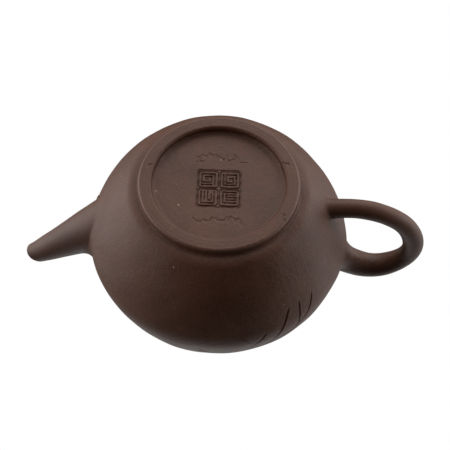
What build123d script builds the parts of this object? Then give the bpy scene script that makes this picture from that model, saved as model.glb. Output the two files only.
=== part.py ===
from build123d import *
import math
import os

os.makedirs("parts", exist_ok=True)

# Millimetres. The pot's axis is Z, z = 0 is the plane the foot ring rests on,
# the spout points along +X and the handle along -X.

# ---- pot body -------------------------------------------------------------
wall = 2.8                  # thickness of the paddled wall, base and shoulder
belly_r = 42.0              # widest outer radius
belly_z = 28.5              # height of the widest point
belly_arc_r = 13.0          # radius of the arc around the belly
flank_arc_r = 64.0          # arc from the belly down to the foot
shoulder_arc_r = 39.0       # arc from the belly up to the shoulder
crown_arc_r = 23.0          # arc from the shoulder in to the mouth
flank_angle = -22.0         # where the belly arc meets the flank arc
shoulder_angle = 8.5        # where the belly arc meets the shoulder arc
crown_angle = 24.0          # where the shoulder arc meets the crown arc
mouth_angle = 69.0          # where the crown stops at the mouth ring
flank_end_angle = -60.0     # past the base, where the outline is cut level
shoulder_margin = 3.9       # width of the shoulder disc outside the mouth ring

# ---- foot -----------------------------------------------------------------
foot_height = 2.6           # underside of the base above the table
foot_r = 24.7               # outer radius at the table
foot_lean = 0.4             # how much wider the ring is where it meets the base
foot_recess_r = 20.5        # inner radius of the ring
foot_round = 0.7            # rounding of the ring's outer edge
foot_inner_round = 0.8      # rounding of the ring's inner edge
base_turn_r = 4.6           # radius that turns the flank in above the foot ring

# ---- seal on the base -----------------------------------------------------
seal_size = 14.0            # side of the square impression
seal_offset = -1.2          # along Y, from the pot's axis
seal_turn = -3.4            # degrees off square with the spout
seal_depth = 0.35
seal_line = 0.7             # width of a raised fret line
seal_border = 0.8           # flat strip inside the edge of the impression
seal_cell = 5.0             # size of one fret spiral, between line centres

# ---- mouth and lid --------------------------------------------------------
mouth_r = 20.3              # clear radius of the mouth
mouth_ring_height = 2.3
rim_round = 0.9             # rounding of the mouth ring and lid rim lines
lid_rim_height = 1.9
lid_rim_step = 1.6          # the dome starts this far inside the rim
lid_dome_height = 5.0       # rise of the dome above the rim line
lid_thickness = 2.6
lid_fit = 0.3               # gap between the flange and the mouth
flange_wall = 2.2
flange_depth = 7.0
flange_round = 0.6
knob_r = 6.7                # flattened ball
knob_height = 9.2
knob_neck_r = 3.7
knob_neck_height = 1.2
vent_r = 1.0                # air hole through knob and lid

# ---- spout ----------------------------------------------------------------
spout_wall = 1.25           # wall at the tip
spout_root_wall = 3.2       # wall at the root
# Sections from root to tip: (x past the belly, z above the belly, outer radius).
spout_sections = [
    (-12.0, -6.0, 9.0),
    (-6.0, -1.5, 8.7),
    (0.0, 3.1, 7.8),
    (5.5, 7.6, 6.45),
    (11.0, 12.2, 5.35),
    (16.5, 16.6, 4.5),
    (21.7, 20.7, 3.6),
    (25.2, 23.5, 3.4),
]
spout_lip_section = 6       # the mouth is cut through the centre of this section
spout_lip_angle = 60.0      # which way the mouth faces, up from level
strainer_hole_r = 1.1
strainer_ring_r = 3.2
strainer_count = 6
strainer_angle = 38.0       # rise of the strainer holes and the spout root

# ---- handle ---------------------------------------------------------------
# Sections from the lower root to the upper root:
# (x past the belly, z above the belly, radius), x measured away from the pot.
handle_sections = [
    (-11.0, -15.2, 3.6),
    (-3.3, -16.6, 3.1),
    (4.1, -16.4, 3.05),
    (10.9, -14.2, 3.1),
    (16.6, -10.1, 3.2),
    (20.4, -4.85, 3.3),
    (22.6, 1.1, 3.4),
    (22.9, 6.9, 3.3),
    (20.7, 12.2, 3.4),
    (15.95, 16.6, 3.9),
    (9.1, 17.8, 4.25),
    (0.45, 13.3, 4.65),
    (-4.1, 9.2, 4.8),
    (-8.5, 4.6, 4.9),
]

# ---- derived sizes --------------------------------------------------------


def along(centre, radius, angle):
    """Point at a radius and an angle in degrees from a centre in the XZ plane."""
    turn = math.radians(angle)
    return (centre[0] + radius * math.cos(turn), centre[1] + radius * math.sin(turn))


belly_centre = (belly_r - belly_arc_r, belly_z)
flank_centre = along(belly_centre, belly_arc_r - flank_arc_r, flank_angle)
shoulder_centre = along(belly_centre, belly_arc_r - shoulder_arc_r, shoulder_angle)
crown_centre = along(shoulder_centre, shoulder_arc_r - crown_arc_r, crown_angle)
mouth_outer_r, ring_base_z = along(crown_centre, crown_arc_r, mouth_angle)
shoulder_joint_r = mouth_outer_r + shoulder_margin
base_top_z = foot_height + wall
base_top_angle = -math.degrees(math.asin((flank_centre[1] - base_top_z) / flank_arc_r))
turn_drop = flank_centre[1] - foot_height - base_turn_r
base_turn_angle = -math.degrees(math.asin(turn_drop / (flank_arc_r - base_turn_r)))
base_turn_centre = along(flank_centre, flank_arc_r - base_turn_r, base_turn_angle)
lid_seat_z = ring_base_z + mouth_ring_height
rim_top_z = lid_seat_z + lid_rim_height
dome_edge_r = mouth_outer_r - lid_rim_step
dome_top_z = rim_top_z + lid_dome_height
dome_r = (dome_edge_r**2 + lid_dome_height**2) / (2 * lid_dome_height)
dome_centre_z = dome_top_z - dome_r
flange_r = mouth_r - lid_fit
flange_inner_r = flange_r - flange_wall
knob_centre_z = dome_top_z + knob_neck_height + knob_height / 2
reach = 2 * belly_r         # longer than any section it cuts


def pot_outline(inset, mode=Mode.ADD):
    """Half section of the pot, filled to the axis, moved inwards by inset."""
    flank_r = flank_arc_r - inset
    crown_r = crown_arc_r - inset
    low = along(flank_centre, flank_r, flank_end_angle)
    top = along(crown_centre, crown_r, 90.0)
    with BuildLine() as outline:
        CenterArc(flank_centre, flank_r, flank_end_angle, flank_angle - flank_end_angle)
        CenterArc(belly_centre, belly_arc_r - inset, flank_angle, shoulder_angle - flank_angle)
        CenterArc(shoulder_centre, shoulder_arc_r - inset, shoulder_angle, crown_angle - shoulder_angle)
        CenterArc(crown_centre, crown_r, crown_angle, 90.0 - crown_angle)
        Polyline(top, (0, top[1]), (0, low[1]), low)
    make_face(outline.edges(), mode=mode)


def box_section(r0, r1, z0, z1, mode=Mode.ADD):
    """Rectangle in the half section, from radius r0 to r1 and height z0 to z1."""
    with Locations(((r0 + r1) / 2, (z0 + z1) / 2)):
        Rectangle(r1 - r0, z1 - z0, mode=mode)


# ---- solid outline of the pot, used to trim what is luted on to it ---------
with BuildPart() as pot_solid:
    with BuildSketch(Plane.XZ):
        pot_outline(0)
        box_section(0, reach, foot_height, reach, mode=Mode.INTERSECT)
    revolve(axis=Axis.Z)

# ---- base disc, with the seal pressed into its underside -------------------
with BuildPart() as base_disc:
    with BuildSketch(Plane.XZ):
        with BuildLine():
            CenterArc(base_turn_centre, base_turn_r, -90.0, base_turn_angle + 90.0)
            CenterArc(flank_centre, flank_arc_r, base_turn_angle, base_top_angle - base_turn_angle)
            Polyline(
                along(flank_centre, flank_arc_r, base_top_angle),
                (0, base_top_z),
                (0, foot_height),
                (base_turn_centre[0], foot_height),
            )
        make_face()
    revolve(axis=Axis.Z)
    half_cell = seal_cell / 2
    step = 2 * seal_line
    spiral = [
        (-half_cell, -half_cell),
        (-half_cell, half_cell),
        (half_cell, half_cell),
        (half_cell, -half_cell),
        (-half_cell + step, -half_cell),
        (-half_cell + step, half_cell - step),
        (half_cell - step, half_cell - step),
    ]
    cell_centre = (seal_size - 2 * seal_border - seal_cell - seal_line) / 2
    seal_plane = Plane(origin=(0, seal_offset, foot_height)).rotated((0, 0, seal_turn))
    with BuildSketch(seal_plane):
        Rectangle(seal_size, seal_size)
        for side_x in (-1, 1):
            for side_y in (-1, 1):
                with BuildLine() as fret:
                    Polyline([(side_x * (cell_centre + x), side_y * (cell_centre + y)) for x, y in spiral])
                trace(fret.line, line_width=seal_line, mode=Mode.SUBTRACT)
    extrude(amount=seal_depth, mode=Mode.SUBTRACT)

# ---- foot ring --------------------------------------------------------------
with BuildPart() as foot_ring:
    with BuildSketch(Plane.XZ) as ring_section:
        with BuildLine():
            Polyline(
                (foot_recess_r, 0),
                (foot_r, 0),
                (foot_r + foot_lean, foot_height),
                (foot_recess_r, foot_height),
                close=True,
            )
        make_face()
        low_corners = ring_section.vertices().group_by(Axis.Z)[0].sort_by(Axis.X)
        fillet(low_corners[-1], radius=foot_round)
        fillet(low_corners[0], radius=foot_inner_round)
    revolve(axis=Axis.Z)

# ---- wall, with the strainer holes under the spout -------------------------
with BuildPart() as body_wall:
    with BuildSketch(Plane.XZ):
        pot_outline(0)
        pot_outline(wall, mode=Mode.SUBTRACT)
        box_section(0, reach, base_top_z, reach, mode=Mode.INTERSECT)
        box_section(0, shoulder_joint_r, belly_z, reach, mode=Mode.SUBTRACT)
    revolve(axis=Axis.Z)
    rise = math.radians(strainer_angle)
    root = spout_sections[2]
    strainer_plane = Plane(
        origin=(belly_r + root[0], 0, belly_z + root[1]),
        x_dir=(0, 1, 0),
        z_dir=(math.cos(rise), 0, math.sin(rise)),
    )
    with BuildSketch(strainer_plane):
        Circle(strainer_hole_r)
        with PolarLocations(strainer_ring_r, strainer_count):
            Circle(strainer_hole_r)
    extrude(amount=3 * wall, both=True, mode=Mode.SUBTRACT)

# ---- shoulder disc -----------------------------------------------------------
with BuildPart() as shoulder_disc:
    with BuildSketch(Plane.XZ):
        pot_outline(0)
        pot_outline(wall, mode=Mode.SUBTRACT)
        box_section(mouth_r, shoulder_joint_r, belly_z, ring_base_z, mode=Mode.INTERSECT)
    revolve(axis=Axis.Z)

# ---- mouth ring ----------------------------------------------------------------
with BuildPart() as mouth_ring:
    with BuildSketch(Plane.XZ) as mouth_section:
        box_section(mouth_r, mouth_outer_r, ring_base_z, lid_seat_z)
        fillet(mouth_section.vertices().group_by(Axis.X)[-1], radius=rim_round)
    revolve(axis=Axis.Z)

# ---- spout -----------------------------------------------------------------------
spout_points = [(belly_r + x, 0, belly_z + z) for x, z, r in spout_sections]
lip_x, lip_y, lip_z = spout_points[spout_lip_section]
lip_rise = math.radians(spout_lip_angle)
with BuildPart() as spout:
    with BuildLine():
        spout_path = Spline(*spout_points)
    for point, section in zip(spout_points, spout_sections):
        along_path = spout_path.tangent_at(Vector(*point))
        with BuildSketch(Plane(origin=point, x_dir=(0, 1, 0), z_dir=along_path)):
            Circle(section[2])
    loft()
    for i, (point, section) in enumerate(zip(spout_points, spout_sections)):
        thickness = spout_root_wall + (spout_wall - spout_root_wall) * min(1.0, 2 * i / spout_lip_section)
        along_path = spout_path.tangent_at(Vector(*point))
        with BuildSketch(Plane(origin=point, x_dir=(0, 1, 0), z_dir=along_path)):
            Circle(section[2] - thickness)
    loft(mode=Mode.SUBTRACT)
    lip_plane = Plane(origin=(lip_x, lip_y, lip_z), z_dir=(math.cos(lip_rise), 0, math.sin(lip_rise)))
    split(bisect_by=lip_plane, keep=Keep.BOTTOM)
    add(pot_solid.part, mode=Mode.SUBTRACT)

# ---- handle -----------------------------------------------------------------------
handle_points = [(-belly_r - x, 0, belly_z + z) for x, z, r in handle_sections]
with BuildPart() as handle:
    with BuildLine():
        handle_path = Spline(*handle_points)
    for point, section in zip(handle_points, handle_sections):
        along_path = handle_path.tangent_at(Vector(*point))
        with BuildSketch(Plane(origin=point, x_dir=(0, 1, 0), z_dir=along_path)):
            Circle(section[2])
    loft()
    add(pot_solid.part, mode=Mode.SUBTRACT)

# ---- lid plate ------------------------------------------------------------------------
with BuildPart() as lid_plate:
    with BuildSketch(Plane.XZ) as lid_section:
        box_section(0, mouth_outer_r, lid_seat_z, rim_top_z)
        fillet(lid_section.vertices().group_by(Axis.X)[-1], radius=rim_round)
        with BuildLine():
            RadiusArc((0, dome_top_z), (dome_edge_r, rim_top_z), dome_r)
            Polyline((dome_edge_r, rim_top_z), (0, rim_top_z), (0, dome_top_z))
        make_face()
        with BuildLine():
            hollow_top_z = dome_top_z - lid_thickness
            ThreePointArc(
                (0, hollow_top_z),
                (flange_inner_r * 0.55, lid_seat_z + (hollow_top_z - lid_seat_z) * 0.7),
                (flange_inner_r, lid_seat_z),
            )
            Polyline((flange_inner_r, lid_seat_z), (0, lid_seat_z), (0, hollow_top_z))
        make_face(mode=Mode.SUBTRACT)
        box_section(0, vent_r, 0, reach, mode=Mode.SUBTRACT)
    revolve(axis=Axis.Z)

# ---- lid flange -------------------------------------------------------------------------
with BuildPart() as lid_flange:
    with BuildSketch(Plane.XZ) as flange_section:
        box_section(flange_inner_r, flange_r, lid_seat_z - flange_depth, lid_seat_z)
        fillet(flange_section.vertices().group_by(Axis.Z)[0], radius=flange_round)
    revolve(axis=Axis.Z)

# ---- knob -----------------------------------------------------------------------------------
with BuildPart() as knob:
    with BuildSketch(Plane.XZ):
        with Locations((0, knob_centre_z)):
            Ellipse(knob_r, knob_height / 2)
        box_section(0, knob_neck_r, dome_top_z - knob_neck_height, knob_centre_z)
        with Locations((0, dome_centre_z)):
            Circle(dome_r, mode=Mode.SUBTRACT)
        box_section(vent_r, reach, 0, reach, mode=Mode.INTERSECT)
    revolve(axis=Axis.Z)

# ---- labels and files ---------------------------------------------------------------------------
pieces = {
    "base_disc": base_disc,
    "foot_ring": foot_ring,
    "body_wall": body_wall,
    "shoulder_disc": shoulder_disc,
    "mouth_ring": mouth_ring,
    "spout": spout,
    "handle": handle,
    "lid_plate": lid_plate,
    "lid_flange": lid_flange,
    "knob": knob,
}
for name, piece in pieces.items():
    piece.part.label = name
    export_step(piece.part, f"parts/{name}.step")
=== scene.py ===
import math
import bpy
import numpy as np
from mathutils import Matrix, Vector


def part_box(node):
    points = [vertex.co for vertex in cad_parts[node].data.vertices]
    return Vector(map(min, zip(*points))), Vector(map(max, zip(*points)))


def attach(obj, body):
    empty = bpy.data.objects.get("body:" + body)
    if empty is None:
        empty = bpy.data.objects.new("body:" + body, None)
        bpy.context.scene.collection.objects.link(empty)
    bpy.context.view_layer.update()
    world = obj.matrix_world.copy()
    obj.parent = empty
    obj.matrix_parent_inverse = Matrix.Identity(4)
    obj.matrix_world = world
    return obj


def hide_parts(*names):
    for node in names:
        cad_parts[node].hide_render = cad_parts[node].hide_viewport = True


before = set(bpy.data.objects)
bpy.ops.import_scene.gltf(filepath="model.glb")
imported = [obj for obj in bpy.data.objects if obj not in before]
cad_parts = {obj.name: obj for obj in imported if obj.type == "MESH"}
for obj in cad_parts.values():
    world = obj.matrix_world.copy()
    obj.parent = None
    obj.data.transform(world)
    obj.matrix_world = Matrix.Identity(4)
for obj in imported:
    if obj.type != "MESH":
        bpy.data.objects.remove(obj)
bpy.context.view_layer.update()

# A small unglazed clay teapot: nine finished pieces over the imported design, with their
# clay, a pale floor, soft light all round and the camera below the upturned foot.
# Lengths in this script are millimetres until a mesh is made, in the pot's own frame:
# Z is the pot's axis, z = 0 the table, +X the spout, -X the handle.
MM = 0.001
rng = np.random.default_rng(7)


def node_box(node):
    """Lowest and highest corner of a clay piece, in millimetres."""
    low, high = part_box(node)
    return np.array(low) / MM, np.array(high) / MM


# ---- sizes taken from the frame ----------------------------------------------------
belly_r = node_box("body_wall")[1][0]
base_top_z = node_box("body_wall")[0][2]
foot_height = node_box("base_disc")[0][2]
foot_r = node_box("foot_ring")[1][0] - 0.28
neck_z = node_box("mouth_ring")[0][2]
seat_z = node_box("lid_plate")[0][2]
rim_r = node_box("lid_plate")[1][0]
dome_top_z = node_box("lid_plate")[1][2]
flange_low, flange_high = node_box("lid_flange")
knob_low, knob_high = node_box("knob")

WALL = 2.8
RECESS_R = 20.5
MOUTH_R = flange_high[0] + 0.3
VENT_R = 1.0
NECK_TOP = 51.9
STRAINER_Z, STRAINER_RING, STRAINER_HOLE, STRAINER_DEPTH = 31.6, 3.2, 1.1, 2.3
STRAINER_RISE = math.radians(38.0)


# ---- curves ------------------------------------------------------------------------
def along(centre, radius, angle):
    """Point at a radius and an angle in degrees from a centre, in the plane of the section."""
    return np.array([
        centre[0] + radius * math.cos(math.radians(angle)),
        centre[1] + radius * math.sin(math.radians(angle)),
    ])


def arc(centre, radius, start, end, count):
    """Points (r, z) evenly spaced on a circular arc, angles in degrees."""
    turn = np.radians(np.linspace(start, end, count))
    return np.stack([centre[0] + radius * np.cos(turn), centre[1] + radius * np.sin(turn)], -1)


def natural_spline(knots, count):
    """Cubic curve through the knots, with no bend at its ends, at evenly spaced parameters.

    The second derivatives solve the usual three-term equations; each span is then a cubic
    in the fraction of the way from one knot to the next."""
    knots = np.asarray(knots, float)
    n = len(knots)
    system = np.eye(n)
    right = np.zeros_like(knots)
    inner = np.arange(1, n - 1)
    system[inner, inner - 1] = 1
    system[inner, inner] = 4
    system[inner, inner + 1] = 1
    right[1:-1] = 6 * (knots[2:] - 2 * knots[1:-1] + knots[:-2])
    bend = np.linalg.solve(system, right)
    where = np.linspace(0, n - 1, count)
    span = np.minimum(where.astype(int), n - 2)
    f = (where - span)[:, None]
    a, b = knots[span], knots[span + 1]
    ma, mb = bend[span], bend[span + 1]
    return (1 - f) * a + f * b + ((1 - f) ** 3 - (1 - f)) * ma / 6 + (f ** 3 - f) * mb / 6


def smoothstep(x, low, high):
    """0 below low, 1 above high, and an S curve between them."""
    t = np.clip((x - low) / (high - low), 0, 1)
    return t * t * (3 - 2 * t)


def spread(low, high, windows, coarse, fine):
    """Values from low to high, spaced by fine inside the windows and by coarse elsewhere.

    The spacing is summed up as a density, and the values are read back from its running
    total at equal steps."""
    x = np.linspace(low, high, 6000)
    density = np.full_like(x, 1 / coarse)
    for start, end in windows:
        edge = 3 * coarse
        inside = smoothstep(x, start - edge, start) * (1 - smoothstep(x, end, end + edge))
        density = density + inside * (1 / fine - 1 / coarse)
    total = np.concatenate([[0], np.cumsum((density[1:] + density[:-1]) / 2 * np.diff(x))])
    steps = int(round(total[-1]))
    return np.interp(np.linspace(0, total[-1], steps + 1), total, x)


# ---- meshes ------------------------------------------------------------------------
def build_mesh(name, points, quads, triangles, marks):
    """Mesh object from points in millimetres, four- and three-sided faces, and the named
    values of each point. Faces are turned over if they enclose a negative volume."""
    corners = points[quads]
    volume = 0.0
    for a, b, c in ((0, 1, 2), (0, 2, 3)):
        volume += np.einsum("ij,ij->", corners[:, a], np.cross(corners[:, b], corners[:, c]))
    if len(triangles):
        t = points[triangles]
        volume += np.einsum("ij,ij->", t[:, 0], np.cross(t[:, 1], t[:, 2]))
    if volume < 0:
        quads = quads[:, ::-1]
        triangles = triangles[:, ::-1]
    mesh = bpy.data.meshes.new(name)
    mesh.vertices.add(len(points))
    mesh.vertices.foreach_set("co", (points * MM).astype(np.float32).ravel())
    loops = np.concatenate([quads.ravel(), triangles.ravel()]).astype(np.int32)
    sizes = np.concatenate([np.full(len(quads), 4), np.full(len(triangles), 3)])
    starts = np.concatenate([[0], np.cumsum(sizes)[:-1]]).astype(np.int32)
    mesh.loops.add(len(loops))
    mesh.loops.foreach_set("vertex_index", loops)
    mesh.polygons.add(len(sizes))
    mesh.polygons.foreach_set("loop_start", starts)
    mesh.update(calc_edges=True)
    mesh.polygons.foreach_set("use_smooth", np.ones(len(sizes), bool))
    for mark, values in marks.items():
        layer = mesh.attributes.new(mark, "FLOAT", "POINT")
        layer.data.foreach_set("value", np.asarray(values, np.float32).ravel())
    mesh.validate()
    mesh.update()
    piece = bpy.data.objects.new(name, mesh)
    bpy.context.collection.objects.link(piece)
    return piece


def shell(name, rows, ring=False, marks=None):
    """Closed surface through rows of points: each row is a closed loop. With ring the last
    row joins the first, otherwise a point closes each end."""
    m, n, _ = rows.shape
    marks = {k: np.asarray(v).reshape(m, n) for k, v in (marks or {}).items()}
    points = rows.reshape(-1, 3)
    i = np.arange(m if ring else m - 1)[:, None]
    j = np.arange(n)[None, :]
    up = (i + 1) % m
    side = (j + 1) % n
    quads = np.stack([i * n + j, i * n + side, up * n + side, up * n + j], -1).reshape(-1, 4)
    triangles = np.zeros((0, 3), int)
    if not ring:
        ends = np.stack([rows[0].mean(0), rows[-1].mean(0)])
        k = np.arange(n)
        first = np.stack([(k + 1) % n, k, np.full(n, m * n)], -1)
        last = np.stack([(m - 1) * n + k, (m - 1) * n + (k + 1) % n, np.full(n, m * n + 1)], -1)
        triangles = np.concatenate([first, last])
        points = np.concatenate([points, ends])
        marks = {
            k: np.concatenate([v.ravel(), [v[0].mean(), v[-1].mean()]]) for k, v in marks.items()
        }
    return build_mesh(name, points, quads, triangles, marks)


def revolved(profile, angles):
    """Rows of points: each (r, z) of the profile turned to every angle in radians."""
    r = profile[:, 0][:, None]
    z = np.repeat(profile[:, 1][:, None], len(angles), 1)
    return np.stack([r * np.cos(angles), r * np.sin(angles), z], -1)


def revolved_normals(profile, angles):
    """Unit normals of a turned closed section: square to the line between the two
    neighbouring points of the section, then turned to every angle."""
    step = np.roll(profile, -1, 0) - np.roll(profile, 1, 0)
    step /= np.linalg.norm(step, axis=1)[:, None]
    return revolved(np.stack([step[:, 1], -step[:, 0]], -1), angles)


# ---- the paddled surface ---------------------------------------------------------
# Waves of random direction and phase, added up: the slight unevenness that the paddle
# and the bamboo rib leave in the clay.
wave_count = 26
wave_dir = rng.normal(size=(wave_count, 3))
wave_dir /= np.linalg.norm(wave_dir, axis=1)[:, None]
wave_len = rng.uniform(7.0, 30.0, wave_count)
wave_phase = rng.uniform(0, 2 * np.pi, wave_count)
WAVE_HEIGHT = 0.0042


def paddled(points):
    """Height of the unevenness at each point: the sum of the waves, longer waves higher."""
    turn = points.reshape(-1, 3) @ (wave_dir / wave_len[:, None] * 2 * np.pi).T + wave_phase
    return (np.sin(turn) @ (WAVE_HEIGHT * np.sqrt(wave_len))).reshape(points.shape[:-1])


# ---- outline of the pot -------------------------------------------------------------
# Four tangent arcs from the foot up to the mouth, then the arc that turns the flank in
# above the foot ring. Angles are in degrees from level.
FLANK_ANGLE, SHOULDER_ANGLE, CROWN_ANGLE = -22.0, 8.5, 24.0
FLANK_R, BELLY_R, SHOULDER_R, CROWN_R, TURN_R = 64.0, 13.0, 39.0, 23.0, 4.6
belly_centre = np.array([belly_r - BELLY_R, 28.5])
flank_centre = along(belly_centre, BELLY_R - FLANK_R, FLANK_ANGLE)
shoulder_centre = along(belly_centre, BELLY_R - SHOULDER_R, SHOULDER_ANGLE)
crown_centre = along(shoulder_centre, SHOULDER_R - CROWN_R, CROWN_ANGLE)
turn_angle = -math.degrees(math.asin((flank_centre[1] - foot_height - TURN_R) / (FLANK_R - TURN_R)))
turn_centre = along(flank_centre, FLANK_R - TURN_R, turn_angle)
arc_centres = np.array([flank_centre, belly_centre, shoulder_centre, crown_centre])
arc_radii = np.array([FLANK_R, BELLY_R, SHOULDER_R, CROWN_R])


def outline(inset, low_z, mouth_angle, count):
    """Section of the pot from low_z on the flank up to the mouth as four tangent arcs,
    moved inwards by inset."""
    flank = FLANK_R - inset
    start = math.degrees(math.asin((low_z - flank_centre[1]) / flank))
    parts = [
        arc(flank_centre, flank, start, FLANK_ANGLE, count),
        arc(belly_centre, BELLY_R - inset, FLANK_ANGLE, SHOULDER_ANGLE, count // 3)[1:],
        arc(shoulder_centre, SHOULDER_R - inset, SHOULDER_ANGLE, CROWN_ANGLE, count // 3)[1:],
        arc(crown_centre, CROWN_R - inset, CROWN_ANGLE, mouth_angle, count // 2)[1:],
    ]
    return np.concatenate(parts)


def pot_distance(points):
    """Signed distance to the outside of the pot, and the direction away from it.

    A point belongs to the arc whose span holds its angle about the arc's centre; its
    distance is how much further from that centre it is than the arc's radius."""
    r = np.hypot(points[..., 0], points[..., 1])
    q = np.stack([r, points[..., 2]], -1)
    belly_way, shoulder_way = q - belly_centre, q - shoulder_centre
    about_belly = np.degrees(np.arctan2(belly_way[..., 1], belly_way[..., 0]))
    about_shoulder = np.degrees(np.arctan2(shoulder_way[..., 1], shoulder_way[..., 0]))
    upper = np.where(about_shoulder < CROWN_ANGLE, 2, 3)
    which = np.where(about_belly < FLANK_ANGLE, 0, np.where(about_belly < SHOULDER_ANGLE, 1, upper))
    v = q - arc_centres[which]
    far = np.linalg.norm(v, axis=-1)
    n = v / far[..., None]
    away = np.stack([n[..., 0] * points[..., 0] / r, n[..., 0] * points[..., 1] / r, n[..., 1]], -1)
    return far - arc_radii[which], away


# ---- incised grass ---------------------------------------------------------------
# Each blade: knots of (azimuth in degrees, height) from its tip on the flank to the
# tuft on the shoulder, and its widest half width.
grass = [
    ([(-139.6, 19.2), (-136.6, 23.7), (-132.2, 27.2), (-124, 31.5), (-112, 37.5), (-104, 42)], 0.336),
    ([(-131.6, 19.2), (-130.5, 23.0), (-129.0, 28.3), (-124.5, 33.0), (-114, 38.5), (-104, 42.5)],
     0.386),
    ([(-126.2, 19.3), (-122.1, 24.5), (-117.2, 31.3), (-111, 37), (-103, 42.5)], 0.403),
    ([(-113.8, 24.8), (-110.4, 29.0), (-106.5, 33.0), (-102, 42)], 0.353),
    ([(-101.5, 24.0), (-104.2, 26.0), (-107.2, 29.5), (-106, 35), (-101, 42)], 0.218),
    ([(-84, 31.5), (-88, 36.0), (-95, 40), (-101, 42.5)], 0.286),
    ([(-76, 37), (-84, 40.5), (-92, 42.3), (-100, 43)], 0.252),
]


def grass_relief(angles, heights, radii):
    """Depth of the incised blades on a grid of angle and height.

    Each blade is a smooth curve through its knots. A grid point's distance to the curve,
    measured on the surface, over the blade's half width gives a round-bottomed groove with
    a slight burr beside it; the width swells soon after the tip and thins to the tuft."""
    depth = np.zeros(heights.shape)
    tint = np.zeros(heights.shape)
    for knots, half in grass:
        line = natural_spline(knots, 260)
        f = np.linspace(0, 1, len(line))
        width = half * smoothstep(f, -0.02, 0.09) * (1 - 0.75 * smoothstep(f, 0.15, 1.0))
        lx = np.radians(line[:, 0])
        near = (
            (angles > lx.min() - 0.05) & (angles < lx.max() + 0.05)
            & (heights > line[:, 1].min() - 2) & (heights < line[:, 1].max() + 2)
        )
        a, h, r = angles[near], heights[near], radii[near]
        best = np.full(a.shape, 1e9)
        reach = np.full(a.shape, 1.0)
        for k in range(0, len(a), 4000):
            s = slice(k, k + 4000)
            dx = (a[s, None] - lx[None]) * r[s, None]
            dz = h[s, None] - line[None, :, 1]
            gap = np.hypot(dx, dz)
            i = gap.argmin(1)
            best[s] = gap[np.arange(len(i)), i]
            reach[s] = width[i]
        x = best / np.maximum(reach, 0.02)
        cut = np.where(x < 1, np.sqrt(np.clip(1 - x ** 2, 0, 1)), 0) * reach * 0.62
        burr = 0.05 * np.exp(-((x - 1.35) / 0.3) ** 2) * np.minimum(0.84 * reach / half, 1)
        depth[near] = np.minimum(depth[near], -cut) + np.where(cut > 0, 0, burr)
        tint[near] = np.maximum(tint[near], smoothstep(cut, 0.02, 0.16))
    return depth, tint


# ---- pot wall with its grooves and the strainer holes ---------------------------
def pot_wall():
    """Wall, shoulder and the rim of the base as one closed shell.

    The section runs from under the base, up the flank and the shoulder to the neck, and
    back down the inside. Angle and height are spaced closely where the grass is cut and
    where the strainer holes are."""
    angles = np.radians(spread(-180, 180, [(-141, -99), (-9, 9)], 1.6, 0.27)[:-1])
    turned = along(flank_centre, FLANK_R, turn_angle)
    heights = spread(turned[1], NECK_TOP, [(18.5, 43.5)], 0.75, 0.30)
    dense = outline(0, foot_height, 70, 900)
    outside = np.stack([np.interp(heights, dense[:, 1], dense[:, 0]), heights], -1)
    edge = arc(turn_centre, TURN_R, -90, turn_angle, 12)[:-1]
    under = np.array([(foot_r - 0.4, foot_height), (foot_r, foot_height)])
    neck = np.array([
        (rim_r + 0.10, neck_z - 0.25), (rim_r - 0.15, neck_z), (rim_r - 2.5, neck_z),
        (MOUTH_R + 0.3, neck_z), (MOUTH_R, neck_z - 0.3), (MOUTH_R, neck_z - 1.2),
        (MOUTH_R + 0.3, neck_z - 2.2),
    ])
    inner_dense = outline(WALL, base_top_z, 80, 900)
    inner_heights = spread(base_top_z + 0.4, 50.0, [(27.0, 38.0)], 1.6, 0.36)[::-1]
    inner_r = np.interp(inner_heights, inner_dense[:, 1], inner_dense[:, 0])
    inside = np.stack([inner_r, inner_heights], -1)
    inside = inside[inside[:, 0] > MOUTH_R + 0.9]
    floor = np.array([(inside[-1, 0] - 0.5, base_top_z + 0.05), (foot_r - 0.2, base_top_z)])
    profile = np.concatenate([under, edge, outside, neck, inside, floor])
    first = len(under) + len(edge)
    last = first + len(outside)
    rows = revolved(profile, angles)
    away = revolved_normals(profile, angles)
    a = np.broadcast_to(angles, outside.shape[:1] + angles.shape)
    radii = np.broadcast_to(outside[:, :1], a.shape)
    depth, tint = grass_relief(a, rows[first:last, :, 2], radii)
    lift = np.zeros(rows.shape[:2])
    lift[:last] = paddled(rows[:last])
    lift[first:last] += depth
    marks = np.zeros(rows.shape[:2])
    marks[first:last] = tint
    # Strainer holes: round pits in the inner wall about the spout's axis.
    axis = np.array([math.cos(STRAINER_RISE), 0, math.sin(STRAINER_RISE)])
    centre = np.array([belly_r, 0, STRAINER_Z])
    side = np.array([0, 1.0, 0])
    over = np.cross(axis, side)
    holes = [(0.0, 0.0)] + [
        (STRAINER_RING * math.cos(t), STRAINER_RING * math.sin(t))
        for t in np.radians(np.arange(0, 360, 60))
    ]
    inner = rows[last:]
    u = (inner - centre) @ side
    w = (inner - centre) @ over
    near = (inner[..., 0] > 0) & (inner[..., 2] < 45)
    for hu, hw in holes:
        d = np.hypot(u - hu, w - hw)
        pit = (1 - smoothstep(d, STRAINER_HOLE - 0.15, STRAINER_HOLE + 0.15)) * near
        lift[last:] -= STRAINER_DEPTH * pit
    rows = rows + away * lift[..., None]
    return shell("pot_wall", rows, ring=True, marks={"scratch": marks})


# ---- base with the seal ------------------------------------------------------------
SEAL_CENTRE = np.array([0.0, -1.2])
SEAL_TURN = math.radians(0.8)
SEAL_HALF = 6.8
CELL_HALF = 3.05


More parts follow.
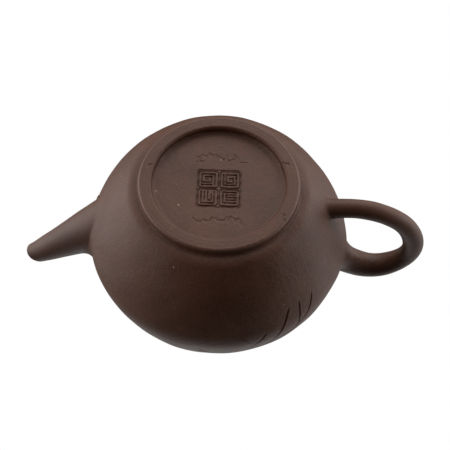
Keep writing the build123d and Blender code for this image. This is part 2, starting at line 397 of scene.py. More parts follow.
def line_gap(x, y, knots):
    """Distance from each point to a polyline."""
    best = np.full(x.shape, 1e9)
    for (ax, ay), (bx, by) in zip(knots[:-1], knots[1:]):
        dx, dy = bx - ax, by - ay
        t = np.clip(((x - ax) * dx + (y - ay) * dy) / (dx * dx + dy * dy), 0, 1)
        best = np.minimum(best, np.hypot(x - ax - t * dx, y - ay - t * dy))
    return best


def box_gap(x, y, half, round_r):
    """Distance from each point to the outline of a square with rounded corners."""
    qx, qy = np.abs(x) - half + round_r, np.abs(y) - half + round_r
    outer = np.hypot(np.maximum(qx, 0), np.maximum(qy, 0))
    return np.abs(outer + np.minimum(np.maximum(qx, qy), 0) - round_r)


# One fret for each quarter of the seal, as lines in a cell from -2 to 2.
FRETS = (
    [[(-2, 1.9), (1.1, 1.9), (1.1, -1.1), (-1.0, -1.1), (-1.0, 0.6), (0.1, 0.6), (0.1, -0.2)],
     [(2, 1.9), (2, -2), (-2, -2), (-2, 1.0)]],
    [[(-2, -2), (-2, 2), (2, 2), (2, -1.0), (-1.0, -1.0), (-1.0, 1.0), (0.9, 1.0), (0.9, 0.1),
      (0, 0.1)],
     [(-1.1, -2), (2, -2)]],
    [[(2, 2), (-2, 2), (-2, 1.1), (1.0, 1.1), (1.0, 0.2), (-2, 0.2), (-2, -0.8), (1.0, -0.8)],
     [(2, 1.2), (2, -1.8), (-2, -1.8)]],
    [[(0, 2), (0, -1.0), (-1.1, -1.0), (-1.1, 1.2)], [(-2, 2), (-2, -2), (2, -2), (2, 2)],
     [(1.0, 2), (1.0, -1.1)]],
)


def seal_relief(x, y):
    """Depth of the seal: a rounded frame round four cells, and in each cell its own fret,
    all cut as lines whose floor is flat and whose sides are steep."""
    c, s = math.cos(SEAL_TURN), math.sin(SEAL_TURN)
    px = (x - SEAL_CENTRE[0]) * c - (y - SEAL_CENTRE[1]) * s
    py = (x - SEAL_CENTRE[0]) * s + (y - SEAL_CENTRE[1]) * c
    sway = 0.06 * np.sin(px * 1.7 + 1) + 0.05 * np.sin(py * 2.3)
    cut = 0.55 * (1 - smoothstep(box_gap(px, py, SEAL_HALF, 0.9) + sway, 0.06, 0.26))
    pitch = SEAL_HALF / 2 - 0.08
    for lines, (sx, sy) in zip(FRETS, ((-1, 1), (1, 1), (-1, -1), (1, -1))):
        cx, cy = px - sx * pitch, py - sy * pitch
        gap = box_gap(cx, cy, CELL_HALF, 0.9)
        for knots in lines:
            gap = np.minimum(gap, line_gap(cx, cy, knots))
        pressed = 0.85 + 0.15 * np.sin(px * 0.9 + py * 1.3)
        cut = np.maximum(cut, (1 - smoothstep(gap + sway, 0.10, 0.30)) * pressed)
    return cut


def flourish(x, y, centre, length, seed):
    """Depth of a small incised flourish: a run of uneven loops with a tick at each end."""
    draw = np.random.default_rng(seed)
    t = np.linspace(0, 1, 40)
    heights = np.convolve(draw.normal(size=40) * 0.95, [0.25, 0.5, 0.25], "same")
    heights += 0.35 * np.sin(t * np.pi * 2 + seed)
    sideways = np.convolve(draw.normal(size=40) * 0.55, [0.3, 0.4, 0.3], "same")
    knots = np.stack([centre[0] + (t - 0.5) * length + sideways, centre[1] + heights], -1)
    cut = 1 - smoothstep(line_gap(x, y, knots), 0.16, 0.44)
    for end in (0, -1):
        tick = knots[end] + np.array([(-0.9, -0.7), (0.5, 0.9)])
        cut = np.maximum(cut, 1 - smoothstep(line_gap(x, y, tick), 0.12, 0.38))
    return cut * (0.45 + 0.55 * np.abs(np.sin(x * 1.7 + seed)))


def base_slab():
    """Base disc: a square grid carried on to a disc, each square ring becoming a circle
    towards the edge, with the marks cut into its underside and a cove at the foot ring."""
    across = spread(-1, 1, [(-0.48, 0.48)], 0.022, 0.0046)
    gx, gy = np.meshgrid(across, across, indexing="ij")
    far = np.maximum(np.abs(gx), np.abs(gy))
    long = np.hypot(gx, gy)
    pull = smoothstep(far, 0.45, 0.95)
    scale = np.where(long > 0, far / np.maximum(long, 1e-9), 1) * pull + (1 - pull)
    radius = foot_r - 0.1
    x, y = gx * scale * radius, gy * scale * radius
    r = np.hypot(x, y)
    cove = 1.1
    t = np.clip(r - (RECESS_R - cove), 0, cove)
    z = foot_height - (cove - np.sqrt(cove ** 2 - t ** 2))
    z = z + (foot_height - z) * smoothstep(r, RECESS_R + 0.1, RECESS_R + 0.6)
    seal = seal_relief(x, y)
    top = flourish(x, y, (1.3, 10.6), 12.6, 3)
    low = flourish(x, y, (-0.4, -12.3), 14.0, 5)
    dashes = np.zeros_like(x)
    for ax, ay, bx, by in ((7.6, 8.5, 5.1, 8.9), (-6.3, 9.15, -8.4, 9.0)):
        dashes = np.maximum(dashes, 1 - smoothstep(line_gap(x, y, [(ax, ay), (bx, by)]), 0.08, 0.3))
    points = np.stack([x, y, z], -1)
    z = z + paddled(points) * 0.8
    z = z + 0.42 * seal + 0.16 * np.maximum(top, low) + 0.12 * dashes
    # A red-brown line round the corner of the recess, uneven round the ring and stronger towards -Y.
    corner = np.exp(-((r - RECESS_R + 0.35) / 0.4) ** 2)
    corner = corner * (0.45 + 0.3 * np.sin(3 * np.arctan2(y, x) + 1) - 0.3 * y / radius)
    scratch = np.clip(np.maximum(np.maximum(top, low), 0.45 * dashes) + corner, 0, 1)
    points = np.stack([x, y, z], -1)
    n = len(across)
    flat = points.reshape(-1, 3)
    index = np.arange(n * n).reshape(n, n)
    corners = [index[:-1, :-1], index[1:, :-1], index[1:, 1:], index[:-1, 1:]]
    quads = np.stack(corners, -1).reshape(-1, 4)
    border = np.concatenate([index[:-1, 0], index[-1, :-1], index[:0:-1, -1], index[0, :0:-1]])
    m = len(border)
    upper = flat[border].copy()
    upper[:, 2] = base_top_z
    base = len(flat)
    k = np.arange(m)
    wall = np.stack([border, base + k, base + (k + 1) % m, border[(k + 1) % m]], -1)
    top_fan = np.stack([base + k, np.full(m, base + m), base + (k + 1) % m], -1)
    flat = np.concatenate([flat, upper, [[0, 0, base_top_z]]])
    more = np.zeros(m + 1)
    # The seal's depth also darkens its cuts in the clay: painted shade in the recesses.
    marks = {
        "groove": np.concatenate([seal.ravel(), more]),
        "scratch": np.concatenate([scratch.ravel(), more]),
    }
    return build_mesh("base_slab", flat, np.concatenate([quads, wall]), top_fan, marks)


# Azimuth and radius of each nick's middle, its direction in degrees and its half length.
NICKS = (
    (159.0, 21.6, 14, 1.1), (-146.8, 23.9, 60, 0.25), (12.6, 22.0, -24, 0.5), (-150.5, 22.8, 40, 0.2),
)


def foot_ring():
    """Foot ring: a low band with a gently crowned face, softly rounded edges, and four
    small nicks where a tool touched the face."""
    outer = arc((foot_r - 0.75, 0.75), 0.75, -90, -8, 9)
    inner = arc((RECESS_R + 1.0, 1.0), 1.0, 180, 270, 10)
    face_r = np.linspace(RECESS_R + 1.0, foot_r - 0.75, 12)[1:-1]
    crown = (face_r - face_r.mean()) / (face_r[-1] - face_r[0]) * 2
    face = np.stack([face_r, 0.03 * crown ** 2], -1)
    wall = np.array([
        (foot_r + 0.08, 1.2), (foot_r + 0.14, 1.6), (foot_r + 0.20, 2.0), (foot_r + 0.28, 2.3),
        (foot_r + 0.42, 2.48), (foot_r + 0.65, foot_height + 0.01), (foot_r + 0.9, foot_height + 0.2),
    ])
    back = np.array([(foot_r - 1, foot_height + 0.3), (RECESS_R + 1, foot_height + 0.3),
                     (RECESS_R + 0.05, foot_height), (RECESS_R, foot_height - 0.8), (RECESS_R, 1.2)])
    profile = np.concatenate([inner, face, outer, wall, back])
    angles = np.radians(np.arange(0, 360, 0.75))
    rows = revolved(profile, angles)
    r = np.broadcast_to(profile[:, 0][:, None], rows.shape[:2])
    low = rows[..., 2] < 0.6
    tint = np.zeros(rows.shape[:2])
    # The nicks are cut into the face, and their tint darkens them in the clay as painted shade.
    for azimuth, radius, tilt, half in NICKS:
        spot = np.array([math.cos(math.radians(azimuth)), math.sin(math.radians(azimuth))]) * radius
        d = np.array([math.cos(math.radians(tilt)), math.sin(math.radians(tilt))]) * half
        cut = 1 - smoothstep(line_gap(rows[..., 0], rows[..., 1], [spot - d, spot + d]), 0.1, 0.42)
        rows[..., 2] += 0.16 * cut * low
        tint = np.maximum(tint, cut * low)
    rows[..., 2] += paddled(rows) * 0.5 * low
    rows[..., 2] -= rows[..., 2].min()
    # Paler colour on the rounded outer edge of the face: partly wear, partly a painted highlight along
    # the edge.
    rub_and_highlight = smoothstep(r, foot_r - 0.75, foot_r - 0.2) * (1 - smoothstep(rows[..., 2], 0.5, 1.1))
    # Red-brown along the inner edge of the recess, all round and stronger towards -Y and -X.
    side = (-0.85 * rows[..., 1] - 0.5 * rows[..., 0]) / r
    recess_tint = 1 - smoothstep(r, RECESS_R + 0.15, RECESS_R + 0.8)
    recess_tint = recess_tint * (0.3 + 0.6 * smoothstep(side, -0.2, 0.9))
    return shell("foot_band", rows, ring=True, marks={"groove": tint, "rub_and_highlight": rub_and_highlight, "scratch": recess_tint})


# ---- spout and handle -----------------------------------------------------------------
class Tube:
    """A round bar of changing radius along a curve in the plane of spout and handle.

    Centre, radius, direction and slope are kept at evenly spaced parameters and read
    between them by straight interpolation."""

    def __init__(self, knots, count):
        line = natural_spline(knots, count)
        self.centre = np.stack([line[:, 0], np.zeros(count), line[:, 1]], -1)
        self.radius = line[:, 2]
        step = np.gradient(self.centre, axis=0)
        self.length = np.linalg.norm(step, axis=1)
        self.forward = step / self.length[:, None]
        self.slope = np.gradient(self.radius) / self.length
        self.over = np.cross(self.forward, [0, 1.0, 0])
        self.last = count - 1

    def read(self, values, t):
        """Values at fractional parameters."""
        low = np.clip(t.astype(int), 0, self.last - 1)
        f = t - low
        return (values[low].T * (1 - f).T + values[low + 1].T * f.T).T

    def skin(self, t, angles):
        """Points on the bar at parameters and angles, angle 0 towards +Y."""
        ring = np.stack([np.zeros_like(angles), np.cos(angles), np.zeros_like(angles)], -1)
        ring = ring + self.read(self.over, t) * np.sin(angles)[..., None]
        return self.read(self.centre, t) + ring * self.read(self.radius, t)[..., None], ring

    def distance(self, points, t):
        """Signed distance to the bar, the direction away from it, and the parameter of
        the nearest place on its curve, found by steps along the curve from t."""
        for _ in range(3):
            v = points - self.read(self.centre, t)
            ahead = (v * self.read(self.forward, t)).sum(-1)
            t = np.clip(t + ahead / self.read(self.length, t), 0, self.last)
        v = points - self.read(self.centre, t)
        forward = self.read(self.forward, t)
        forward = forward / np.linalg.norm(forward, axis=-1)[..., None]
        ahead = (v * forward).sum(-1)
        out = v - ahead[..., None] * forward
        far = np.linalg.norm(out, axis=-1)
        slope = self.read(self.slope, t)
        lean = np.sqrt(1 + slope ** 2)
        d = (far - self.read(self.radius, t) - ahead * slope) / lean
        away = (out / np.maximum(far, 1e-9)[..., None] - forward * slope[..., None]) / lean[..., None]
        return d, away, t


def settle(points, tube, t, blend, rounds=9):
    """Moves points on to the smooth union of pot and bar.

    The union is the lower of the two distances, rounded off over the width blend where
    they are alike. Each round moves a point along the mixed direction by its distance."""
    for _ in range(rounds):
        d_pot, n_pot = pot_distance(points)
        d_bar, n_bar, t = tube.distance(points, t)
        h = np.clip(0.5 + 0.5 * (d_bar - d_pot) / blend, 0, 1)
        d = d_bar * (1 - h) + d_pot * h - blend * h * (1 - h)
        away = n_bar * (1 - h)[..., None] + n_pot * h[..., None]
        away = away / np.linalg.norm(away, axis=-1)[..., None]
        points = points - away * d[..., None]
    return points, away


def luted_root(tube, angles, start, blend, reach, rows_out, rows_on):
    """Rows of points from the pot on to the bar, and on along it to parameter reach.

    Along each angle the bar's skin is followed from start until it leaves the pot. From
    that crossing some rows go out over the pot until the bar is further away than the
    width blend, and the others go along the bar. All settle on the smooth union."""
    steps = np.linspace(start, start + (reach.mean() - start) * 0.7, 500)
    grid_t = np.broadcast_to(steps[:, None], (500, len(angles)))
    skin, ring = tube.skin(grid_t, np.broadcast_to(angles, grid_t.shape))
    d, _ = pot_distance(skin)
    first = np.maximum((d > 0).argmax(0), 1)
    j = np.arange(len(angles))
    f = np.clip(-d[first - 1, j] / (d[first, j] - d[first - 1, j]), 0, 1)
    cross_t = steps[first - 1] + f * (steps[1] - steps[0])
    crossing, ring = tube.skin(cross_t, angles)
    _, normal = pot_distance(crossing)
    out = ring - (ring * normal).sum(-1)[:, None] * normal
    out /= np.linalg.norm(out, axis=1)[:, None]
    goal = np.linspace(1.12, 0, rows_out, endpoint=False)[:, None] ** 1.5 * blend
    walk = goal * 1.1
    t_out = np.broadcast_to(cross_t, walk.shape)
    for _ in range(8):
        on_pot = crossing[None] + out[None] * walk[..., None]
        for _ in range(3):
            d_pot, away = pot_distance(on_pot)
            on_pot = on_pot - away * d_pot[..., None]
        d_bar, _, t_out = tube.distance(on_pot, t_out)
        walk = np.clip(walk + (goal - d_bar) * 0.9, 0, None)
    t_on = cross_t + np.linspace(0, 1, rows_on)[:, None] ** 1.4 * (reach - cross_t)
    on_bar, _ = tube.skin(t_on, np.broadcast_to(angles, t_on.shape))
    rows = np.concatenate([on_pot, on_bar])
    t = np.concatenate([t_out, t_on])
    moved, away = settle(rows, tube, t, np.broadcast_to(blend, rows.shape[:2]))
    sink = np.zeros(len(rows))
    sink[:3] = (0.04, 0.02, 0.008)
    return moved - away * sink[:, None, None], away


# Knots are (x, z, radius), from inside the pot outwards.
spout_knots = [
    (30.0, 22.5, 9.7), (36.0, 27.0, 8.8), (42.0, 31.55, 7.6), (47.5, 36.1, 6.45),
    (53.0, 40.65, 5.35), (58.5, 45.05, 4.5), (63.4, 48.9, 3.6), (67.2, 51.8, 3.4),
]
LIP_KNOT = 6
LIP_RISE = math.radians(60.0)
LIP_WALL = 1.25


def spout_piece():
    """Spout: a straight taper with a wide fillet above its root, a lip cut across at a
    slant, and the bore. Counts and ends along it are parameters of the tube.

    The outside ends where the skin crosses the plane of the lip. The lip is a half circle
    from the outside to the bore, and the bore runs back into the pot."""
    count = 421
    tube = Tube(spout_knots, count)
    angles = np.linspace(0, 2 * np.pi, 128, endpoint=False)
    lip_t = LIP_KNOT / (len(spout_knots) - 1) * (count - 1)
    centre = tube.read(tube.centre, np.array(lip_t))
    facing = np.array([math.cos(LIP_RISE), 0, math.sin(LIP_RISE)])
    end_t = np.full(len(angles), lip_t)
    for _ in range(12):
        skin, _ = tube.skin(end_t, angles)
        ahead = (skin - centre) @ facing
        end_t = np.clip(end_t - ahead / (tube.read(tube.length, end_t) * 0.9), 0, count - 1)
    blend = 0.6 + 6.2 * smoothstep(np.sin(angles), -0.45, 0.5)
    last_ring = 2.5
    rows, away = luted_root(tube, angles, 0.0, blend, end_t - last_ring, 30, 120)
    skin, ring = tube.skin(end_t, angles)
    turn = np.radians(np.linspace(10, 170, 13))
    half = LIP_WALL / 2
    lip = (skin[None] - ring[None] * half + ring[None] * (half * np.cos(turn))[:, None, None]
           + facing * (half * np.sin(turn) - 0.15)[:, None, None])
    bore_start, narrow = 40, 250
    back = np.linspace(0, 1, 40)[:, None] * (bore_start - end_t) + end_t
    grid = np.broadcast_to(angles, back.shape)
    skin_in, ring_in = tube.skin(back, grid)
    thick = np.interp(back, [bore_start, narrow, count], [2.6, 1.7, LIP_WALL])
    bore = skin_in - ring_in * thick[..., None]
    d, out = pot_distance(bore)
    bore = bore + out * np.maximum(0.15 - d, 0)[..., None]
    edge = rows[0] - away[0] * 0.9
    rows = rows + away * paddled(rows)[..., None]
    everything = np.concatenate([rows, lip, bore[1:], edge[None]])
    rub_and_highlight = np.zeros(everything.shape[:2])
    # Paler colour on the lip: partly wear, partly a painted highlight.
    rub_and_highlight[len(rows):len(rows) + len(lip)] = 0.5
    return shell("spout_clay", everything, ring=True, marks={"rub_and_highlight": rub_and_highlight})


handle_knots = [
    (-31.0, 13.3, 3.6), (-38.7, 11.95, 3.05), (-46.1, 12.05, 3.05), (-52.9, 14.3, 3.1),
    (-58.6, 18.4, 3.2), (-62.4, 23.65, 3.3), (-64.6, 29.6, 3.4), (-64.9, 35.4, 3.3),
    (-62.7, 40.7, 3.4), (-57.95, 45.05, 3.9), (-51.1, 46.3, 4.25), (-42.45, 41.8, 4.7),
    (-33.5, 33.1, 4.9),
]


def handle_piece():
    """Handle: a rolled bar bent to an ear and luted on at both ends, with a wide fillet
    where the upper end meets the shoulder and a tight crease under the lower end."""
    count = 601
    tube = Tube(handle_knots, count)
    other = Tube(handle_knots[::-1], count)
    angles = np.linspace(0, 2 * np.pi, 96, endpoint=False)
    middle = np.full(len(angles), (count - 1) / 2)
    low_blend = 0.25 + 1.4 * smoothstep(np.sin(angles), -0.1, 0.9)
    high_blend = 1.0 + 7.4 * smoothstep(np.sin(angles), -0.5, 0.5)
    low, low_away = luted_root(tube, angles, 0.0, low_blend, middle, 18, 110)
    high, high_away = luted_root(other, angles, 0.0, high_blend, middle, 26, 110)
    # The bar read from its other end turns the opposite way round, so its angles do too.
    flip = np.roll(np.arange(len(angles))[::-1], 1)
    high, high_away = high[::-1][:, flip], high_away[::-1][:, flip]
    start = low[0] - low_away[0] * 0.9
    end = high[-1] - high_away[-1] * 0.9
    rows = np.concatenate([low, high[1:]])
    away = np.concatenate([low_away, high_away[1:]])
    rows = rows + away * paddled(rows)[..., None]
    return shell("handle_clay", np.concatenate([start[None], rows, end[None]]))


# ---- lid -------------------------------------------------------------------------------
def mouth_lip():
    """Mouth ring: a flat-topped band with a rounded outer line."""
    r0, r1 = MOUTH_R, rim_r
    outer = arc((r1 - 1.05, (neck_z + seat_z) / 2), 1.05, -80, 80, 15)
    under = np.array([(r0 + 0.25, neck_z - 0.02), (r1 - 3, neck_z - 0.02), (r1 - 1.4, neck_z - 0.02)])
    profile = np.concatenate([
        under, outer,
        np.array([(r1 - 1.3, seat_z - 0.04), (r1 - 3, seat_z - 0.04), (r0 + 0.4, seat_z - 0.04),
                  (r0 + 0.1, seat_z - 0.14), (r0, seat_z - 0.4), (r0, neck_z + 0.3)]),
    ])
    rows = revolved(profile, np.radians(np.arange(0, 360, 1.0)))
    rub_and_highlight = np.zeros(rows.shape[:2])
    # Paler colour on the rounded outer line: partly wear, partly a painted highlight.
    rub_and_highlight[len(under):len(under) + len(outer)] = 0.35
    return shell("mouth_lip", rows, ring=True, marks={"rub_and_highlight": rub_and_highlight})


def lid_cap():
    """Lid plate: rounded rim line, a shallow groove inside it, then the dome, with the
    vent through the middle and a hollow underneath."""
    rim_top = seat_z + 1.9
    edge_r = rim_r - 1.6
    rise = dome_top_z - rim_top
    big = (edge_r ** 2 + rise ** 2) / (2 * rise)
    r = np.linspace(VENT_R + 0.35, edge_r - 0.5, 46)
    dome = np.stack([r, dome_top_z - big + np.sqrt(big ** 2 - r ** 2)], -1)
    groove = np.array([
        (edge_r - 0.15, rim_top + 0.02), (edge_r + 0.1, rim_top - 0.10), (edge_r + 0.4, rim_top - 0.03),
    ])
    rim = arc((rim_r - 0.93, seat_z + 0.97), 0.93, 78, -82, 15)
    under_r = flange_high[0] - 2.2
    hollow = dome_top_z - 2.6
    t = np.linspace(under_r - 0.2, VENT_R + 0.25, 24)
    fullness = np.sqrt(np.clip(1 - (t / under_r) ** 2, 0, 1)) ** 0.9
    inside = np.stack([t, seat_z + (hollow - seat_z) * fullness], -1)
    vent = [(VENT_R, hollow + 0.25), (VENT_R, dome_top_z - 0.35), (VENT_R + 0.1, dome_top_z - 0.1)]
    profile = np.concatenate([
        vent, dome, groove, rim,
        [(rim_r - 1.3, seat_z + 0.02), (rim_r - 3.5, seat_z + 0.02), (under_r, seat_z + 0.02)],
        inside,
    ])
    angles = np.radians(np.arange(0, 360, 1.0))
    rows = revolved(profile, angles)
    rim_row = len(vent) + len(dome) + len(groove)
    lift = np.zeros(rows.shape[:2])
    lift[len(vent):rim_row] = paddled(rows[len(vent):rim_row])
    rows = rows - revolved_normals(profile, angles) * lift[..., None]
    rub_and_highlight = np.zeros(rows.shape[:2])
    # Paler colour on the rim line: partly wear, partly a painted highlight.
    rub_and_highlight[rim_row:rim_row + len(rim)] = 0.35
    return shell("lid_cap", rows, ring=True, marks={"rub_and_highlight": rub_and_highlight})


def lid_collar():
    """Flange: the ring under the lid that sits in the mouth, rounded at its lower edge."""
    r1 = flange_high[0]
    r0 = r1 - 2.2
    low = flange_low[2]
    bottom = arc(((r0 + r1) / 2, low + 1.0), 1.0, -170, -10, 13)
    bottom[:, 0] = (r0 + r1) / 2 + (bottom[:, 0] - (r0 + r1) / 2) * 1.1
    profile = np.concatenate([
        bottom, [(r1, low + 1.4), (r1, seat_z - 0.6), (r1 - 0.1, seat_z)],
        [(r0 + 0.1, seat_z), (r0, seat_z - 0.5), (r0, low + 1.4)],
    ])
    return shell("lid_collar", revolved(profile, np.radians(np.arange(0, 360, 1.5))), ring=True)


def lid_knob():
    """Knob: a slightly flattened ball whose waist flares out on to the dome, with the vent
    down its middle."""
    top = knob_high[2]
    height = 9.2
    centre_z = top - height / 2
    ball_r = knob_high[0]
    turn = np.radians(np.linspace(81, -58, 44))
    ball = np.stack([ball_r * np.cos(turn), centre_z + height / 2 * np.sin(turn)], -1)
    waist_r, waist_z = ball[-1]
    t = np.linspace(0, 1, 12)[1:]
    foot_z = knob_low[2]
    flare = np.stack([
        waist_r + 1.3 * t ** 3 - 0.25 * np.sin(t * np.pi), waist_z + (foot_z - 0.02 - waist_z) * t,
    ], -1)
    profile = np.concatenate([
        [(VENT_R, foot_z - 0.1), (VENT_R, top - 0.6), (VENT_R + 0.12, top - 0.16)],
        ball, flare, [(waist_r, foot_z - 0.25)],
    ])
    rows = revolved(profile, np.radians(np.arange(0, 360, 2.0)))
    return shell("lid_knob", rows, ring=True)


# ---- clay material -------------------------------------------------------------------
class Value:
    """A shader socket that can be written in sums: each operator adds a Math node."""

    def __init__(self, tree, socket):
        self.tree = tree
        self.socket = socket

    def math(self, operation, *others):
        items = {f"i{n}": item for n, item in enumerate(others)}
        node = Shader(self.tree).node("ShaderNodeMath", {"operation": operation}, **items)
        return Value(self.tree, node.outputs[0])

    def __add__(self, other):
        return self.math("ADD", self, other)

    __radd__ = __add__

    def __sub__(self, other):
        return self.math("SUBTRACT", self, other)

    def __rsub__(self, other):
        return self.math("SUBTRACT", other, self)

    def __mul__(self, other):
        return self.math("MULTIPLY", self, other)

    __rmul__ = __mul__

    def step(self, low, high):
        """0 below low, 1 above high, with a smooth rise."""
        node = Shader(self.tree).node("ShaderNodeMapRange", {"interpolation_type": "SMOOTHSTEP"},
                                      Value=self, From_Min=low, From_Max=high)
        return Value(self.tree, node.outputs["Result"])


class Shader:
    """A node tree in the making."""

    def __init__(self, tree):
        self.tree = tree

    def node(self, kind, settings=None, **sockets):
        """One node: its type, its settings, then the values or links of its sockets. An
        underscore in a socket's name stands for a space, and a leading i for its number."""
        node = self.tree.nodes.new(kind)
        for key, item in (settings or {}).items():
            setattr(node, key, item)
        for key, item in sockets.items():
            slot = node.inputs[int(key[1:]) if key[1:].isdigit() else key.replace("_", " ")]
            if isinstance(item, Value):
                item = item.socket
            if isinstance(item, bpy.types.NodeSocket):
                self.tree.links.new(item, slot)
            else:
                slot.default_value = item
        return node

    def noise(self, place, scale, detail=3.0, rough=0.55):
        node = self.node("ShaderNodeTexNoise", None, Vector=place, Scale=scale, Detail=detail,
                         Roughness=rough)
        return Value(self.tree, node.outputs["Fac"])

    def mix(self, factor, a, b):
        """Colour a, or b where factor is 1."""
        node = self.node("ShaderNodeMix", {"data_type": "RGBA"}, i0=factor, i6=a, i7=b)
        return node.outputs[2]


def clay(name):
    """Unglazed clay: a dark brown body colour with soft warm and pale clouds, fine sand
    grain, orange and reddish dots, sparse pale mica specks, red-brown in the incised lines
    and along the recess, painted shade darkening the seal cuts and the nicks, and a paler
    edge colour that is partly wear and partly a painted highlight."""
    material = bpy.data.materials.new(name)
    material.use_nodes = True
    tree = material.node_tree
    tree.nodes.clear()
    s = Shader(tree)
    place = s.node("ShaderNodeTexCoord").outputs["Object"]
    clouds = s.noise(place, 45.0, 4.0, 0.6)
    patches = s.noise(place, 160.0, 3.0, 0.6)
    grain = s.noise(place, 2100.0, 2.0, 0.65)
    peel = s.noise(place, 620.0, 2.0, 0.5)
    fine = s.noise(place, 4200.0, 2.0, 0.6)
    groove = Value(tree, s.node("ShaderNodeAttribute", {"attribute_name": "groove"}).outputs["Fac"])
    scratch = Value(tree, s.node("ShaderNodeAttribute", {"attribute_name": "scratch"}).outputs["Fac"])
    rub_and_highlight = Value(tree, s.node("ShaderNodeAttribute", {"attribute_name": "rub_and_highlight"}).outputs["Fac"])

    def dots(scale, size, rare, channel):
        """The middles of some of the cells of a fine random pattern."""
        cells = s.node("ShaderNodeTexVoronoi", None, Vector=place, Scale=scale)
        pick = s.node("ShaderNodeSeparateColor", None, Color=cells.outputs["Color"]).outputs[channel]
        near = Value(tree, cells.outputs["Distance"])
        return (1 - near.step(size * 0.6, size)) * Value(tree, pick).step(rare, rare + 0.01)

    mica = dots(420.0, 0.11, 0.970, 0)
    ochre = dots(900.0, 0.30, 0.90, 1)
    russet = dots(1100.0, 0.38, 0.84, 2)
    deep = (0.080, 0.0290, 0.0145, 1)
    warm = (0.110, 0.0410, 0.0205, 1)
    pale = (0.145, 0.0600, 0.0330, 1)
    colour = s.mix(clouds.step(0.32, 0.68), deep, warm)
    colour = s.mix(patches.step(0.45, 0.75) * 0.30, colour, pale)
    colour = s.mix(grain.step(0.50, 0.78) * 0.50, colour, pale)
    colour = s.mix(grain.step(0.50, 0.24) * 0.40, colour, (0.045, 0.0170, 0.0090, 1))
    colour = s.mix(russet * 0.32, colour, (0.200, 0.052, 0.020, 1))
    colour = s.mix(ochre * 0.30, colour, (0.260, 0.100, 0.040, 1))
    # Paler on worn edges: partly wear, partly a painted highlight; only the lower roughness there is
    # real.
    colour = s.mix(rub_and_highlight * 0.35, colour, (0.240, 0.140, 0.100, 1))
    # Painted shade: the seal cuts and the nicks in the foot are darkened.
    colour = s.mix(groove * 0.75, colour, (0.048, 0.0150, 0.0060, 1))
    colour = s.mix(scratch * 0.85, colour, (0.085, 0.0270, 0.0085, 1))
    colour = s.mix(mica * 0.7, colour, (0.60, 0.50, 0.42, 1))
    rough = patches * 0.14 + 0.38 + fine * 0.10 - rub_and_highlight * 0.08 + groove * 0.2
    height = peel * 0.45 + grain * 0.40 + fine * 0.10 + mica * 0.10
    bump = s.node("ShaderNodeBump", None, Strength=0.6, Distance=0.00032, Height=height)
    shader = s.node("ShaderNodeBsdfPrincipled", None, Base_Color=colour, Roughness=rough,
                    Normal=bump.outputs["Normal"])
    shader.inputs["IOR"].default_value = 1.5
    shader.inputs["Specular IOR Level"].default_value = 0.40
    output = s.node("ShaderNodeOutputMaterial")
    tree.links.new(shader.outputs["BSDF"], output.inputs["Surface"])
    return material


zisha = clay("zisha_clay")

# ---- pieces ---------------------------------------------------------------------------
made = [
    (pot_wall(), "pot", ("body_wall", "shoulder_disc")),
    (base_slab(), "pot", ("base_disc",)),
    (foot_ring(), "pot", ("foot_ring",)),
    (mouth_lip(), "pot", ("mouth_ring",)),
    (spout_piece(), "pot", ("spout",)),
    (handle_piece(), "pot", ("handle",)),
    (lid_cap(), "lid", ("lid_plate",)),
    (lid_collar(), "lid", ("lid_flange",)),
    (lid_knob(), "lid", ("knob",)),
]
for piece, body, nodes in made:
    piece.data.materials.append(zisha)
    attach(piece, body)
    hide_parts(*nodes)

# ---- floor ----------------------------------------------------------------------------
def stage_floor():
    """A wide pale floor at z = 0. It is only drawn from above, and holds back no light, so
    that the foot can be seen and lit from below."""
    mesh = bpy.data.meshes.new("floor")
    half = 2.5
    corners = [(-half, -half, 0), (half, -half, 0), (half, half, 0), (-half, half, 0)]
    mesh.from_pydata(corners, [], [(0, 1, 2, 3)])
    floor = bpy.data.objects.new("floor", mesh)
    bpy.context.collection.objects.link(floor)
    material = bpy.data.materials.new("pale_floor")
    material.use_nodes = True
    tree = material.node_tree
    tree.nodes.clear()
    s = Shader(tree)
    face = s.node("ShaderNodeNewGeometry").outputs["Backfacing"]
    place = s.node("ShaderNodeTexCoord").outputs["Object"]
    tone = s.mix(s.noise(place, 3.0) * 0.3, (0.80, 0.80, 0.79, 1), (0.76, 0.76, 0.75, 1))
    pale = s.node("ShaderNodeBsdfPrincipled", None, Base_Color=tone, Roughness=0.7)
    clear = s.node("ShaderNodeBsdfTransparent")
    both = s.node("ShaderNodeMixShader", None, i0=face, i1=pale.outputs[0], i2=clear.outputs[0])
    output = s.node("ShaderNodeOutputMaterial")
    tree.links.new(both.outputs[0], output.inputs["Surface"])
    mesh.materials.append(material)
    floor.visible_shadow = False
    floor.visible_diffuse = False
    floor.visible_glossy = False
    floor.visible_transmission = False


stage_floor()

# ---- light ------------------------------------------------------------------------------
world = bpy.data.worlds.new("studio")
bpy.context.scene.world = world
world.use_nodes = True
tree = world.node_tree
tree.nodes.clear()
s = Shader(tree)
look = s.node("ShaderNodeTexCoord").outputs["Generated"]
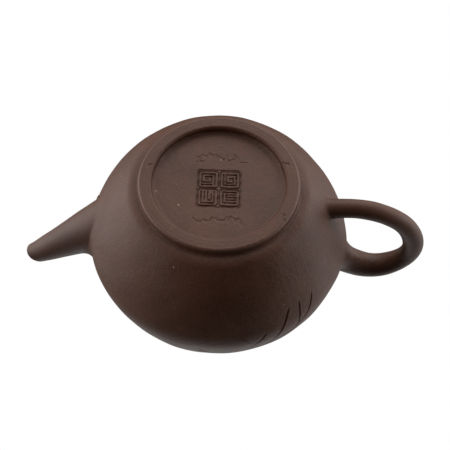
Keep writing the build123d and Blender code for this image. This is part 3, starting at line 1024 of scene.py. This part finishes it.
# Soft lamps all round: each is its strength times e to the power of 9 (cosine - 1), where
# the cosine is taken between the lamp's direction and the direction looked in.
LAMPS = (
    ((0.1, -0.15, 1.0), 1.05), ((-0.7, -0.1, 0.7), 0.9), ((-0.8, 0.55, 0.05), 1.1),
    ((1.0, 0.35, 0.0), 2.9), ((-1.0, 0.22, -0.15), 2.0), ((0.95, -0.2, -0.3), 1.15),
    ((-0.2, 0.8, -0.6), 2.7), ((0.4, 0.55, -0.75), 1.0),
)
glow = 0.0
for direction, strength in LAMPS:
    aim = tuple(np.array(direction) / np.linalg.norm(direction))
    dot = s.node("ShaderNodeVectorMath", {"operation": "DOT_PRODUCT"}, i0=look, i1=aim)
    cosine = Value(tree, dot.outputs["Value"])
    glow = glow + cosine.math("EXPONENT", (cosine - 1) * 9) * strength
soft = s.node("ShaderNodeBackground", None, Color=(1.0, 1.0, 1.0, 1), Strength=glow)
white = s.node("ShaderNodeBackground", None, Color=(1, 1, 1, 1), Strength=1.0)
seen = s.node("ShaderNodeLightPath").outputs["Is Camera Ray"]
both = s.node("ShaderNodeMixShader", None, i0=seen, i1=soft.outputs[0], i2=white.outputs[0])
out = s.node("ShaderNodeOutputWorld")
tree.links.new(both.outputs[0], out.inputs["Surface"])

# ---- camera -----------------------------------------------------------------------------
AZIMUTH, ELEVATION, ROLL = -1.1, -57.77, 1.9
DISTANCE = 300.0
# A point on the pot's axis, and how far to the side of it and above it the middle lies.
LOOK_AT = np.array([0, 0, 35.0])
SHIFT_X, SHIFT_Y = 2.404, 5.155
FOCAL = 889.9 / 450 * 36
az, el, roll = (math.radians(v) for v in (AZIMUTH, ELEVATION, ROLL))
back = np.array([math.sin(az) * math.cos(el), -math.cos(az) * math.cos(el), math.sin(el)])
right = np.array([math.cos(az), math.sin(az), 0.0])
upward = np.cross(back, right)
cam_x = -(right * math.cos(roll) + upward * math.sin(roll))
cam_y = -(upward * math.cos(roll) - right * math.sin(roll))
eye = LOOK_AT + cam_x * SHIFT_X + cam_y * SHIFT_Y + back * DISTANCE
camera_data = bpy.data.cameras.new("camera")
camera_data.sensor_width = 36
camera_data.lens = FOCAL
camera_data.clip_start = 0.01
camera_data.clip_end = 20
camera = bpy.data.objects.new("camera", camera_data)
bpy.context.collection.objects.link(camera)
place = np.eye(4)
place[:3, 0], place[:3, 1], place[:3, 2], place[:3, 3] = cam_x, cam_y, back, eye * MM
camera.matrix_world = Matrix(place.tolist())
bpy.context.scene.camera = camera
bpy.context.scene.view_settings.view_transform = "Standard"
